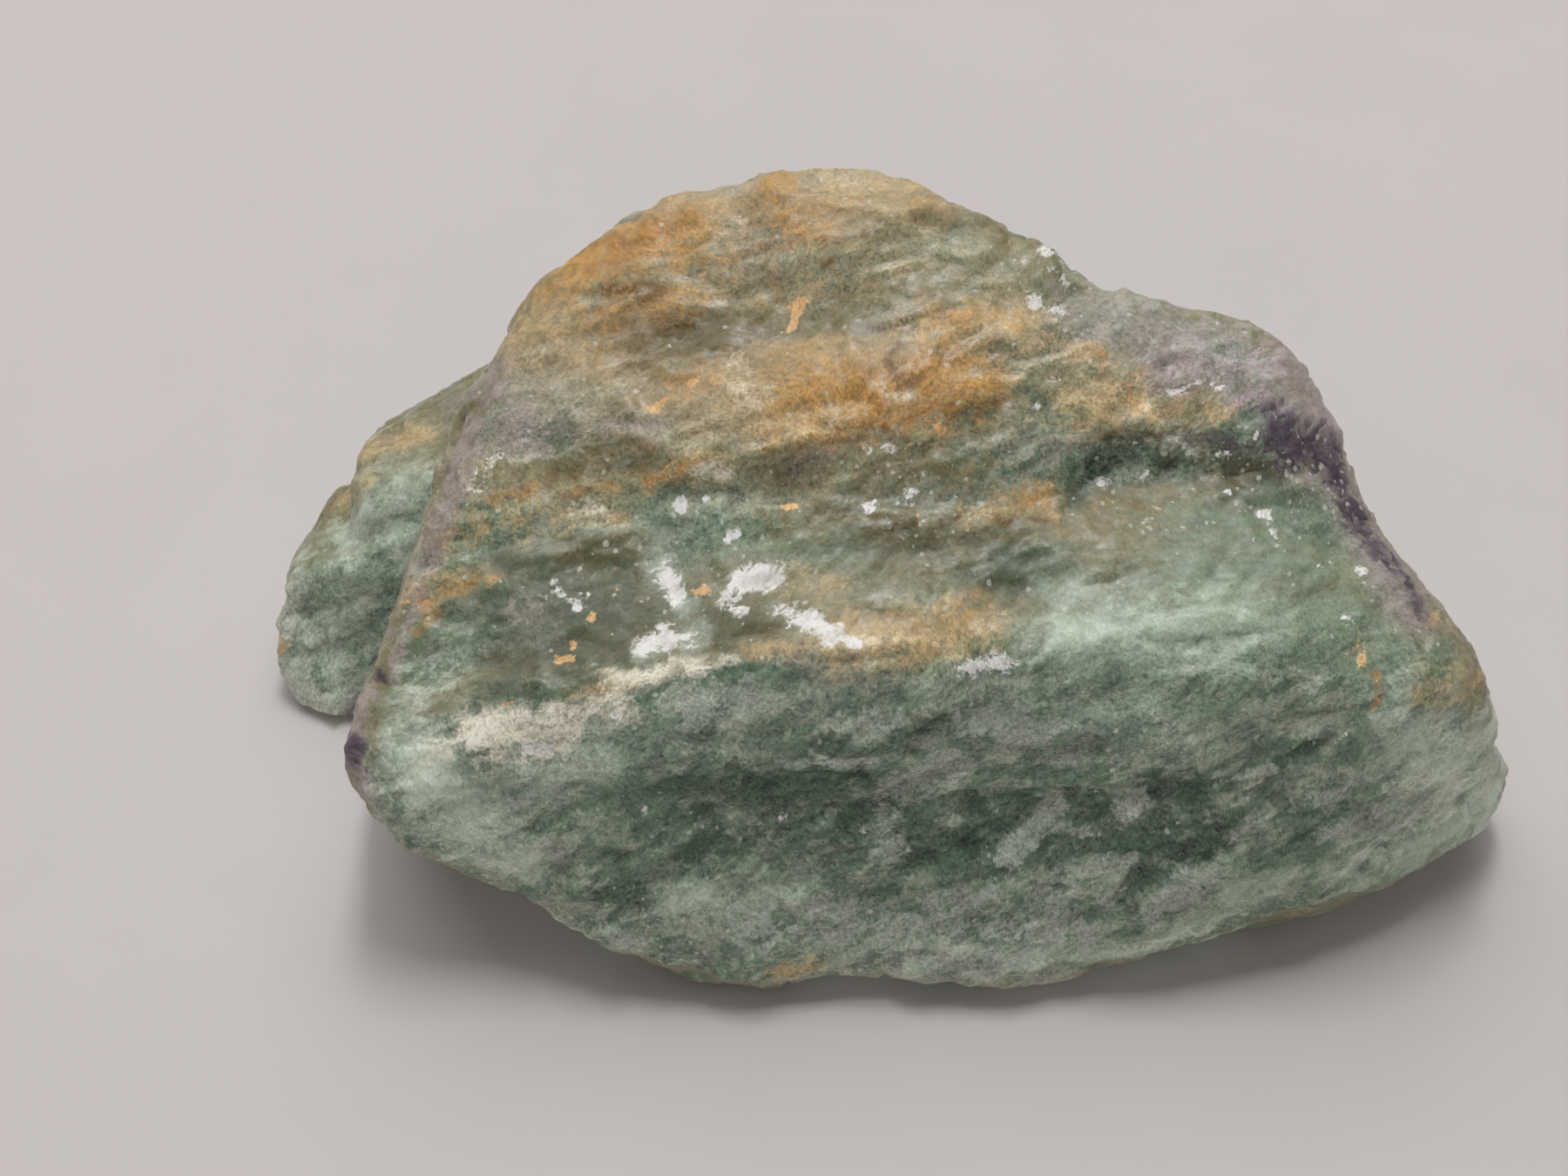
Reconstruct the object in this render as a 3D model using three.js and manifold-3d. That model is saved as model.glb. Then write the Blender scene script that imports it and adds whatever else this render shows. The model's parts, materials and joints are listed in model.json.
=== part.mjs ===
// A rough hand specimen of rainbow fluorite, banded green and purple, lying on its own broken underside.
// Millimetres, +Z up. +X is the stone's right-hand end and -Y its front. The origin is on the table,
// under the middle of the stone. The stone is one piece: a blocky body, with a low shoulder and a toe
// grown out of the back of its left end.

import * as THREE from "three";
import { ImprovedNoise } from "three/addons/math/ImprovedNoise.js";
import { mergeVertices } from "three/addons/utils/BufferGeometryUtils.js";
import Module from "manifold-3d";

// The broken faces are set out as they are seen from the front, from this height over the table.
const SIGHT = THREE.MathUtils.degToRad(48);
const ACROSS = new THREE.Vector3(1, 0, 0);
const UPWARD = new THREE.Vector3(0, Math.sin(SIGHT), Math.cos(SIGHT));
const TOWARD = new THREE.Vector3(0, -Math.cos(SIGHT), Math.sin(SIGHT));

// The lumps that the stone is made of. heart is the lump's middle above the table. crispness is how
// sharp the edges between its faces are, and detail how finely its starting sphere is divided.
// Each face gives the direction it faces round the outline (0 right, 90 up), how far it leans towards the
// viewer (90 faces the viewer, -90 faces away), and how far it lies from the heart.
const BODY = {
  heart: [3, 4.5, 17.5],
  crispness: 34,
  detail: 17,
  faces: {
    upperLeft: { round: 122, lean: 70, reach: 25 },
    upperRight: { round: 72, lean: 73, reach: 23 },
    front: { round: -90, lean: 66, reach: 25.6 },
    frontRight: { round: -45, lean: 45, reach: 40 },
    leftCorner: { round: -160, lean: 25, reach: 55.5 },
    rightSlope: { round: 30, lean: 6, reach: 38 },
    rightCorner: { round: 12, lean: 20, reach: 52.3 },
    rightPoint: { round: -14, lean: 0, reach: 56 },
    rightToe: { round: -54, lean: 0, reach: 55 },
    rightHeel: { round: -66, lean: 0, reach: 41.2 },
    rightUnderside: { round: -76, lean: -2, reach: 36.3 },
    frontFoot: { round: -89, lean: -5, reach: 33.7 },
    leftFoot: { round: -110, lean: -5, reach: 38.7 },
    leftUnderside: { round: -117, lean: -6, reach: 40 },
    leftToe: { round: -140, lean: 0, reach: 52.5 },
    leftEnd: { round: 180, lean: -6, reach: 56 },
    leftSlope: { round: 160, lean: 0, reach: 45.3 },
    leftShoulder: { round: 144, lean: 0, reach: 45.5 },
    leftCrown: { round: 127, lean: 2, reach: 45.2 },
    crown: { round: 104, lean: 0, reach: 41.3 },
    crownRight: { round: 78, lean: 0, reach: 39 },
    rightCrown: { round: 66, lean: 2, reach: 33.4 },
    back: { round: 95, lean: -44, reach: 21.5 },
    backCrown: { round: 78, lean: -24, reach: 29.2 },
    backFoot: { round: 105, lean: -62, reach: 20.5 },
    backLeft: { round: 140, lean: -38, reach: 33 },
    backRight: { round: 40, lean: -38, reach: 31 },
    underLeft: { round: -112, lean: -44, reach: 24.5 },
    underRight: { round: -78, lean: -44, reach: 21.5 },
    underBack: { round: -90, lean: -66, reach: 21 },
    base: { round: -90, lean: -48, reach: 18.7 },
  },
};

const SHOULDER = {
  heart: [-41, 19, 11],
  crispness: 20,
  detail: 9,
  faces: {
    top: { round: 115, lean: 62, reach: 11.2 },
    front: { round: -105, lean: 66, reach: 8.6 },
    left: { round: 170, lean: 10, reach: 12.2 },
    leftCrown: { round: 149, lean: 0, reach: 13.9 },
    crown: { round: 121, lean: 0, reach: 13.4 },
    foot: { round: -112, lean: -5, reach: 18 },
    back: { round: 100, lean: -42, reach: 11.5 },
    backRight: { round: 38, lean: -38, reach: 19 },
    slope: { round: 60, lean: 25, reach: 20 },
    backFoot: { round: 120, lean: -65, reach: 13.5 },
    under: { round: -90, lean: -48, reach: 11 },
    root: { round: 0, lean: 0, reach: 38 },
  },
};

const TOE = {
  heart: [-49, 15, 6.5],
  crispness: 20,
  detail: 6,
  faces: {
    top: { round: 125, lean: 42, reach: 9.4 },
    front: { round: -105, lean: 68, reach: 7.6 },
    leftCrown: { round: 155, lean: 0, reach: 9.6 },
    left: { round: 172, lean: 0, reach: 10.8 },
    tip: { round: 200, lean: 0, reach: 13.6 },
    foot: { round: -120, lean: -5, reach: 17 },
    back: { round: 100, lean: -35, reach: 9 },
    under: { round: -90, lean: -48, reach: 6.5 },
    root: { round: 0, lean: 0, reach: 16 },
  },
};

// Broad hollows (deep above 0) and swellings (below 0), placed by the direction from the body's heart.
// half is the hollow's half-width across the stone, and rise its half-width the other way.
const HOLLOWS = {
  greenDish: { round: 172, lean: 46, half: 19, rise: 8, deep: 2.2 },
  crownDish: { round: 112, lean: 31, half: 10, rise: 3.5, deep: 1.1 },
  darkDish: { round: 30, lean: 40, half: 10, rise: 4, deep: 1.5 },
  mintSwelling: { round: -6, lean: 40, half: 17, rise: 6, deep: -1.4 },
  crownNotch: { round: 62, lean: 10, half: 6, rise: 9, deep: 2 },
  footNotch: { round: -143, lean: 8, half: 3.5, rise: 6, deep: 1.8 },
  frontNotch: { round: -97, lean: 5, half: 9, rise: 8, deep: 1 },
};

// Ledges where one broken layer ends above the next. Each line runs through a place on the body, tilted
// by turn (degrees, as seen from the front). The surface drops just below the line, and rises again
// over the distance fade. half is the ledge's half-length. A ledge whose lean is below 0 is on the back.
const LEDGES = {
  dishLedge: { round: 143, lean: 44, turn: 12, half: 18, drop: 1.6, fade: 7 },
  crownLedge: { round: 113, lean: 27, turn: 14, half: 8, drop: 1.2, fade: 6 },
  darkLedge: { round: 36, lean: 40, turn: 6, half: 12, drop: 1.4, fade: 6 },
  frontLedge: { round: -75, lean: 45, turn: 10, half: 16, drop: 1, fade: 8 },
  leftLedge: { round: -140, lean: 38, turn: -8, half: 12, drop: 0.9, fade: 7 },
  backLedge: { round: 70, lean: -28, turn: -14, half: 24, drop: 1.8, fade: 9 },
  lowBackLedge: { round: 40, lean: -52, turn: 16, half: 18, drop: 1.4, fade: 8 },
  underLedge: { round: -70, lean: -25, turn: 8, half: 20, drop: 1.2, fade: 7 },
};
const LEDGE_WIDTH = 1.6;

// Relief left by the breaking: flat facets of two sizes, and slow swells between them. The upper faces
// are worn smoother than the sides by the share WEAR.
const LARGE_FACETS = { size: 13, tilt: 0.08, salt: 3 };
const SMALL_FACETS = { size: 6, tilt: 0.11, salt: 8 };
const FACET_SHARPNESS = 14;
const FACET_STRETCH = 0.65;
const SWELL_SIZE = 24;
const SWELL_HEIGHT = 0.8;
const WEAR = 0.55;

// A direction as seen from the front, as a unit vector in the stone's own frame.
function facing({ round, lean }) {
  const turn = THREE.MathUtils.degToRad(round);
  const tilt = THREE.MathUtils.degToRad(lean);
  return new THREE.Vector3()
    .addScaledVector(ACROSS, Math.cos(tilt) * Math.cos(turn))
    .addScaledVector(UPWARD, Math.cos(tilt) * Math.sin(turn))
    .addScaledVector(TOWARD, Math.sin(tilt));
}

// The point on a lump in one direction from its heart: on the nearest of its broken faces that way, with
// the edges between faces worn round.
function surfacePoint(lump, direction, target) {
  let sum = 0;
  for (const plane of lump.planes) {
    const share = plane.normal.dot(direction) / plane.reach;
    if (share > 0) sum += share ** lump.crispness;
  }
  return target.copy(direction).multiplyScalar(sum ** (-1 / lump.crispness)).add(lump.centre);
}

// A repeatable random number from 0 to 1 for one cell of space.
function cellRandom(x, y, z, salt) {
  let mixed = Math.imul(x, 374761393) ^ Math.imul(y, 668265263) ^ Math.imul(z, 1440662683);
  mixed = Math.imul(mixed ^ Math.imul(salt, 974634777), 1274126177);
  mixed = Math.imul(mixed ^ (mixed >>> 15), 2246822519);
  return ((mixed ^ (mixed >>> 13)) >>> 0) / 2 ** 32;
}

// The height of a crazy paving of flat, tilted facets at a point. Each cell of space has its own seed
// point and tilt, and the cells meet in narrow creases.
function facetHeight(point, { size, tilt, salt }) {
  const x = (point.x * FACET_STRETCH) / size;
  const y = point.y / size;
  const z = point.z / size;
  let height = 0;
  let weights = 0;
  for (let i = -1; i <= 1; i++)
    for (let j = -1; j <= 1; j++)
      for (let k = -1; k <= 1; k++) {
        const cell = [Math.floor(x) + i, Math.floor(y) + j, Math.floor(z) + k];
        const random = (n) => cellRandom(...cell, salt * 8 + n);
        const dx = x - cell[0] - random(0);
        const dy = y - cell[1] - random(1);
        const dz = z - cell[2] - random(2);
        const weight = Math.exp(-FACET_SHARPNESS * (dx * dx + dy * dy + dz * dz));
        const slope = (random(3) - 0.5) * dx + (random(4) - 0.5) * dy + (random(5) - 0.5) * dz;
        height += weight * (2 * slope + random(6) - 0.5);
        weights += weight;
      }
  return (size * tilt * height) / weights;
}

// How far a hollow sinks the surface at a point.
function hollowDepth(point, { middle, half, rise, deep }) {
  const across = (point.x - middle.x) / half;
  const aside = Math.hypot(point.y - middle.y, point.z - middle.z) / rise;
  return deep * Math.exp(-across * across - aside * aside);
}

// How far a ledge drops the surface at a point that faces outward.
function ledgeDrop(point, outward, { middle, lean, turn, half, drop, fade }) {
  if (outward.dot(TOWARD) * lean <= 0) return 0;
  const tilt = THREE.MathUtils.degToRad(turn);
  const across = point.x - middle.x;
  const upward = point.dot(UPWARD) - middle.dot(UPWARD);
  const along = (across * Math.cos(tilt) + upward * Math.sin(tilt)) / half;
  const below = across * Math.sin(tilt) - upward * Math.cos(tilt);
  if (below <= 0) return 0;
  return drop * Math.min(below / LEDGE_WIDTH, 1) * Math.exp(-below / fade - along ** 4);
}

const swells = new ImprovedNoise();

// The height of the relief at a point of a surface that faces outward.
function relief(point, outward, features) {
  const swell = swells.noise(point.x / SWELL_SIZE, point.y / SWELL_SIZE, point.z / SWELL_SIZE);
  const facets = facetHeight(point, LARGE_FACETS) + facetHeight(point, SMALL_FACETS);
  let height = SWELL_HEIGHT * swell + (1 - WEAR * Math.max(outward.z, 0)) * facets;
  for (const hollow of features.hollows) height -= hollowDepth(point, hollow);
  for (const ledge of features.ledges) height -= ledgeDrop(point, outward, ledge);
  return height;
}

// The corners that share an edge with each corner of a closed mesh.
function neighboursOf(geometry) {
  const around = Array.from({ length: geometry.attributes.position.count }, () => new Set());
  const corners = geometry.index.array;
  for (let i = 0; i < corners.length; i += 3)
    for (let side = 0; side < 3; side++) {
      const from = corners[i + side];
      const to = corners[i + ((side + 1) % 3)];
      around[from].add(to);
      around[to].add(from);
    }
  return around.map((found) => [...found]);
}

const EVENING_ROUNDS = 12;

// A lump as a closed mesh: a sphere drawn out to the broken faces, its corners evened out along the
// surface, and then the relief raised on it.
function lumpGeometry(lump, features) {
  const sphere = new THREE.IcosahedronGeometry(1, lump.detail);
  sphere.deleteAttribute("normal");
  sphere.deleteAttribute("uv");
  const geometry = mergeVertices(sphere);
  const position = geometry.attributes.position;
  const around = neighboursOf(geometry);
  const direction = new THREE.Vector3();
  let points = [];
  for (let i = 0; i < position.count; i++) {
    direction.fromBufferAttribute(position, i).normalize();
    points.push(surfacePoint(lump, direction, new THREE.Vector3()));
  }
  for (let turn = 0; turn < EVENING_ROUNDS; turn++)
    points = points.map((point, i) => {
      direction.set(0, 0, 0);
      for (const other of around[i]) direction.add(points[other]);
      direction.divideScalar(around[i].length).sub(lump.centre).normalize();
      return surfacePoint(lump, direction, new THREE.Vector3());
    });
  points.forEach((point, i) => position.setXYZ(i, point.x, point.y, point.z));
  geometry.computeVertexNormals();
  const outward = new THREE.Vector3();
  points.forEach((point, i) => {
    outward.fromBufferAttribute(geometry.attributes.normal, i);
    point.addScaledVector(outward, relief(point, outward, features));
    position.setXYZ(i, point.x, point.y, Math.max(point.z, 0));
  });
  geometry.deleteAttribute("normal");
  return geometry;
}

for (const lump of [BODY, SHOULDER, TOE]) {
  lump.centre = new THREE.Vector3(...lump.heart);
  lump.planes = Object.values(lump.faces).map((face) => ({ ...face, normal: facing(face) }));
}

// Each feature with its middle on the body's broken faces.
function placed(features) {
  return Object.values(features).map((feature) => ({
    ...feature,
    middle: surfacePoint(BODY, facing(feature), new THREE.Vector3()),
  }));
}

const wasm = await Module();
wasm.setup();

function solidOf(geometry) {
  const vertProperties = geometry.attributes.position.array;
  const triVerts = new Uint32Array(geometry.index.array);
  return new wasm.Manifold(new wasm.Mesh({ numProp: 3, vertProperties, triVerts }));
}

function geometryOf(solid) {
  const mesh = solid.getMesh();
  const geometry = new THREE.BufferGeometry();
  geometry.setAttribute("position", new THREE.BufferAttribute(mesh.vertProperties, 3));
  geometry.setIndex(new THREE.BufferAttribute(mesh.triVerts, 1));
  return geometry;
}

const body = lumpGeometry(BODY, { hollows: placed(HOLLOWS), ledges: placed(LEDGES) });
const shoulder = lumpGeometry(SHOULDER, { hollows: [], ledges: [] });
const toe = lumpGeometry(TOE, { hollows: [], ledges: [] });
const stone = geometryOf(solidOf(body).add(solidOf(shoulder)).add(solidOf(toe)));

// The stone is moved so that the origin is under the middle of its outline.
stone.computeBoundingBox();
const middle = stone.boundingBox.getCenter(new THREE.Vector3());
stone.translate(-middle.x, -middle.y, -stone.boundingBox.min.z);

const fluorite = new THREE.Mesh(
  stone,
  new THREE.MeshStandardMaterial({ color: 0x7f9482, roughness: 0.45, metalness: 0 }),
);
fluorite.name = "fluorite";

const specimen = new THREE.Group();
specimen.add(fluorite);

export default specimen;
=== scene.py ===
# Dresses the rainbow fluorite specimen: one rough stone, mostly green, with ochre stains over its
# crown, a cream seam along its ridge, and a little purple at its right shoulder and left end.
# Lengths are millimetres in the frame of the CAD, until a mesh, lamp or camera is made in metres.

import json
import math

import bpy
import bmesh
import numpy as np
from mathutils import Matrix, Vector
from mathutils.bvhtree import BVHTree

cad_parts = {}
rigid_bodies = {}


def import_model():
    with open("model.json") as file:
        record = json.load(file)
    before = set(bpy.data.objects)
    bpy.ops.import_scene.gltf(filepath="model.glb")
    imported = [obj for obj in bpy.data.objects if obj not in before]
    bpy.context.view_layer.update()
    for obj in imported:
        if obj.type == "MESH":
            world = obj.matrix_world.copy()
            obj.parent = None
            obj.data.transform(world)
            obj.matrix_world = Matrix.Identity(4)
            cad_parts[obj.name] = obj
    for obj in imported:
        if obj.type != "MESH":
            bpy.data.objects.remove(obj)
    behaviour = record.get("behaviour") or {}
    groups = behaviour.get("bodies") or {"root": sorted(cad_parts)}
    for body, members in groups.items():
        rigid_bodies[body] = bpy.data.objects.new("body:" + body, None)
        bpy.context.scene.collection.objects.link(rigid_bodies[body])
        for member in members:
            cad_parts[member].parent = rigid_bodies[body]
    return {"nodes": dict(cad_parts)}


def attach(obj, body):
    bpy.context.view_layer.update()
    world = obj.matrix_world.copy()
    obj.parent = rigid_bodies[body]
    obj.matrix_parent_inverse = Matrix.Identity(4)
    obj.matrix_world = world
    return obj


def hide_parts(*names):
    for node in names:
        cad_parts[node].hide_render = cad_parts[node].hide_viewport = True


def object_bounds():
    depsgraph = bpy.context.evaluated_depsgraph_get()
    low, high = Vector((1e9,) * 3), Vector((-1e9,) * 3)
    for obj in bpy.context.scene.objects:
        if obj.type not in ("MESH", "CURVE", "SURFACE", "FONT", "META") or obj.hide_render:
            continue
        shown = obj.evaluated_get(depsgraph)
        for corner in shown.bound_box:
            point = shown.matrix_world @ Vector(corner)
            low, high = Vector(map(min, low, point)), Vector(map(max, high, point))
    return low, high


for item in list(bpy.data.objects):
    bpy.data.objects.remove(item)

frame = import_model()
cad_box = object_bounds()

MM = 0.001

# The photograph's viewpoint: what it is aimed at, how far off and how high it is, and its lens.
AIM = np.array([-8.19, 9.985, 10.64])
DISTANCE = 255
SIGHT = math.radians(48)
LENS = 60
SENSOR = 36
PHOTO_WIDTH = 1800
PHOTO_HEIGHT = 1350
PIXELS_PER_UNIT = PHOTO_WIDTH * LENS / SENSOR
ACROSS = np.array([1.0, 0.0, 0.0])
UPWARD = np.array([0.0, math.sin(SIGHT), math.cos(SIGHT)])
TOWARD = np.array([0.0, -math.cos(SIGHT), math.sin(SIGHT)])
EYE = AIM + DISTANCE * TOWARD
PIXEL = DISTANCE / PIXELS_PER_UNIT

# The stone's grain. Its bands run along GRAIN and lie across STRATA. SLANT is how the long flakes of
# the front face run, and FRONT is the way that the front faces.
GRAIN = np.array([0.95, 0.17, 0.26])
STRATA = np.array([-0.25, 0.70, 0.67])
SLANT = np.array([0.88, 0.12, 0.42])
FRONT = np.array([0.0, -0.91, 0.41])

# The fine mesh: the size of its quads, how many rounds of smoothing wear the facets of the solid away, and
# over how many rounds the bend of its ridges is felt.
CELL = 0.51
SMOOTHING_ROUNDS = 4
RIDGE_ROUNDS = 24

# The plates that the stone is broken into, from broad to small: how long each is along the grain and how
# wide across it, how high it stands, and the salt of its noise.
PLATES = (((10, 8, 8), 0.75, 11), ((3.6, 2.6, 2.6), 0.5, 23), ((2.0, 1.3, 1.3), 0.32, 37))

# How light scatters inside the stone: the share that does, in what proportion red, green and blue travel,
# and how far.
SCATTERED = 0.6
SCATTER_SHARES = (0.8, 1.0, 0.85)
SCATTER_LENGTH = 2.2
FLUORITE_IOR = 1.434

# The stone's own colours under its marks, as the photograph's 0 to 255 numbers in even light; the last two
# are painted light.
UPPER_COLD = (136, 136, 106)
UPPER_WARM = (152, 138, 108)
FRONT_GREEN = (112, 134, 112)
FRONT_GREY = (160, 168, 150)
# A painted glow of light shining through the stone's thin, sharp edges.
EDGE_GLOW = (214, 210, 198)
# Painted glints: tiny facets catching the light.
GLINT_SPECK = (226, 226, 214)

# The bands that the stone grew in: each one's colour, and between which heights its edge lies.
BANDS = (
    ((104, 128, 104), 0.42, 0.34),
    ((196, 208, 190), 0.47, 0.5),
    ((150, 166, 144), 0.53, 0.55),
    ((186, 174, 184), 0.58, 0.6),
    ((96, 80, 98), 0.62, 0.64),
    ((206, 204, 194), 0.67, 0.69),
)

# Each kind's colour, as the photograph's 0 to 255 numbers in even light, then the strengths where it
# starts to show and where it is full, how torn and how grainy its edge is, and how much it hides.
# Painted in this order.
PAINTS = {
    "khaki": ((190, 168, 130), 0.0, 0.8, 0.5, 0.1, 0.7),
    "sage": ((142, 162, 138), 0.0, 0.8, 0.6, 0.1, 0.6),
    "olive": ((112, 94, 56), 0.05, 0.8, 0.7, 0.2, 0.82),
    "moss": ((76, 88, 64), 0.0, 0.8, 0.6, 0.2, 0.75),
    "grey": ((170, 164, 152), 0.1, 0.8, 0.8, 0.3, 0.75),
    "violet": ((174, 160, 156), 0.05, 0.75, 0.6, 0.3, 0.82),
    "sea": ((116, 142, 118), 0.05, 0.75, 0.7, 0.2, 0.6),
    "mint": ((194, 210, 188), 0.0, 0.9, 0.5, 0.1, 0.8),
    "milk": ((224, 234, 216), 0.0, 0.9, 0.5, 0.1, 0.8),
    "lilac": ((188, 172, 176), 0.0, 0.7, 0.7, 0.3, 0.8),
    "sand": ((210, 184, 138), 0.0, 0.95, 0.7, 0.2, 0.8),
    "ochre": ((202, 154, 86), -0.05, 1.0, 0.7, 0.2, 0.85),
    "rust": ((172, 120, 58), 0.1, 1.0, 0.8, 0.2, 0.75),
    "brown": ((112, 86, 58), 0.2, 0.75, 0.8, 0.3, 0.75),
    "deep": ((62, 86, 68), 0.12, 0.66, 0.8, 0.2, 0.74),
    "plate": ((180, 184, 172), 0.2, 0.52, 0.9, 0.3, 0.68),
    "purple": ((82, 66, 84), 0.1, 0.75, 0.8, 0.5, 0.88),
    "cream": ((252, 242, 222), 0.05, 0.85, 0.7, 0.2, 0.85),
    "white": ((252, 248, 244), 0.18, 0.62, 1.2, 0.5, 0.88),
    "chip": ((236, 192, 138), 0.4, 0.6, 0.5, 0.2, 0.9),
}

# Marks of the surface, kind by kind, and last the frost, which thickens the painted glints. A few marks are
# painted shadow, glints and glow, as told above their kinds. Each is a stroke: where it starts and ends in
# the photograph's pixels, its half width there, and its strength.
MARKS = {}

MARKS["khaki"] = {
    "upper_left": (650, 400, 800, 470, 70, 0.8),
    "upper_middle": (900, 480, 1100, 400, 80, 0.9),
    "crown": (790, 250, 1040, 235, 50, 0.9),
    "upper_right": (1200, 430, 1330, 460, 50, 0.6),
    "middle": (950, 570, 1200, 560, 45, 0.3),
    "crown_low": (700, 350, 1000, 330, 60, 0.6),
    "crown_right": (1050, 320, 1180, 370, 40, 0.6),
    "left_field": (545, 545, 700, 560, 36, 0.7),
    "crown_top": (960, 270, 1150, 330, 40, 0.6),
    "crown_right_low": (1060, 290, 1180, 300, 34, 0.5),
}

MARKS["sage"] = {
    "crown_right": (1000, 262, 1110, 290, 34, 0.2),
    "crown_back": (1110, 300, 1220, 300, 30, 0.3),
    "under_seam": (700, 585, 800, 610, 30, 0.6),
    "dish_rim": (820, 600, 960, 640, 34, 0.6),
    "right_upper": (1356, 590, 1532, 610, 30, 0.7),
    "right_field": (1380, 650, 1540, 640, 44, 1.0),
    "right_field_low": (1430, 730, 1540, 700, 34, 0.9),
    "right_corner": (1560, 700, 1620, 780, 30, 0.7),
    "front_left": (560, 920, 700, 890, 44, 0.7),
    "front_plate": (820, 1012, 900, 1010, 28, 1.0),
    "front_low": (900, 1080, 1010, 1075, 20, 0.6),
    "front_right": (1180, 800, 1400, 820, 26, 0.5),
    "shoulder": (390, 660, 450, 600, 48, 0.9),
}

MARKS["olive"] = {
    "crown_shade": (715, 372, 870, 394, 36, 0.85),
    "crown_left": (660, 375, 740, 365, 22, 0.5),
    "crown_plate": (815, 335, 905, 322, 20, 0.35),
    "crown_right": (940, 325, 1075, 330, 22, 0.2),
    "behind_patch": (1090, 470, 1150, 452, 15, 0.5),
    "middle": (900, 600, 1000, 590, 26, 0.5),
    "middle_right": (1010, 600, 1160, 610, 24, 0.6),
    "seam_foot": (900, 545, 960, 525, 20, 0.6),
    "seam_foot_right": (1000, 548, 1120, 535, 22, 0.6),
    "left_of_seam": (640, 535, 740, 520, 20, 0.6),
    "dish_top": (660, 640, 720, 630, 18, 0.6),
    "right_upper": (1480, 815, 1540, 805, 16, 0.3),
    "shoulder": (440, 585, 480, 562, 26, 0.3),
    "violet_edge": (1240, 490, 1320, 500, 12, 0.6),
    "hollow_right": (1394, 540, 1530, 545, 22, 0.7),
}

# Moss-green patches. seam is painted shade just below the ledge of the seam.
MARKS["moss"] = {
    "crown_wedge": (925, 374, 1005, 352, 20, 0.45),
    "crown_shade": (800, 395, 835, 375, 16, 0.2),
    "seam": (838, 543, 905, 528, 14, 0.4),
    "middle": (1000, 555, 1070, 560, 15, 0.25),
    "middle_low": (960, 640, 1100, 625, 18, 0.3),
    "under_mint": (1125, 668, 1200, 650, 20, 0.8),
    "under_hollow": (1400, 570, 1510, 570, 14, 0.5),
    "dish_left": (578, 642, 640, 655, 12, 0.8),
    "dish": (590, 700, 690, 700, 44, 0.85),
    "dish_wash": (570, 745, 720, 735, 36, 0.7),
    "dish_wash_right": (720, 680, 860, 720, 34, 0.6),
    "dish_right": (700, 650, 735, 700, 22, 0.75),
    "dish_low": (560, 790, 620, 785, 18, 0.65),
    "dish_far_left": (510, 700, 560, 710, 18, 0.4),
    "dish_far_right": (800, 715, 850, 742, 18, 0.7),
    "body_edge": (505, 592, 528, 572, 6, 0.7),
    "right_brown": (1395, 835, 1460, 880, 24, 0.4),
    "right_speck": (1376, 588, 1396, 600, 10, 0.4),
    "right_dip": (1480, 610, 1530, 625, 12, 0.35),
}

MARKS["grey"] = {
    "crown_plate": (845, 275, 890, 285, 24, 0.6),
    "crown_rim": (745, 240, 850, 218, 12, 0.7),
    "left_rim": (570, 385, 610, 345, 9, 0.8),
    "wedge": (985, 375, 1042, 358, 13, 0.8),
    "fleck_field": (850, 390, 905, 388, 12, 0.6),
    "left": (570, 420, 640, 440, 30, 0.7),
    "left_low": (560, 500, 640, 495, 26, 0.7),
    "left_patch": (640, 490, 662, 472, 11, 0.8),
    "seam_foot": (920, 535, 950, 520, 16, 0.5),
    "middle": (980, 530, 1150, 515, 24, 0.2),
    "middle_low": (1020, 570, 1150, 560, 24, 0.2),
    "violet": (1240, 370, 1360, 400, 40, 1.0),
    "violet_low": (1200, 520, 1240, 500, 16, 0.6),
    "dish": (595, 695, 625, 705, 15, 0.6),
    "dish_low": (560, 745, 640, 735, 10, 0.5),
    "ridge_right": (900, 750, 985, 760, 14, 0.7),
    "shoulder_side": (420, 690, 442, 725, 13, 0.8),
}

MARKS["violet"] = {
    "body_rim": (540, 490, 520, 560, 15, 0.9),
    "body_rim_low": (518, 565, 482, 680, 13, 0.85),
    "body_rim_foot": (474, 700, 452, 780, 9, 0.75),
    "left": (530, 460, 600, 480, 24, 0.6),
    "left_face": (420, 800, 425, 900, 12, 0.8),
    "right_rim": (1530, 540, 1630, 700, 26, 0.9),
    "patch": (690, 480, 760, 490, 18, 0.4),
    "corner": (1350, 420, 1500, 440, 34, 0.8),
    "corner_rim": (1478, 446, 1518, 512, 38, 1.0),
    "body_face": (560, 440, 600, 500, 26, 0.6),
}

MARKS["sea"] = {
    "right_band": (1320, 660, 1500, 655, 20, 0.5),
    "right_top_rim": (1440, 384, 1500, 430, 14, 0.6),
    "low_right": (1340, 985, 1440, 995, 16, 0.6),
    "right_field": (1400, 600, 1520, 600, 30, 0.5),
}

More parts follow.
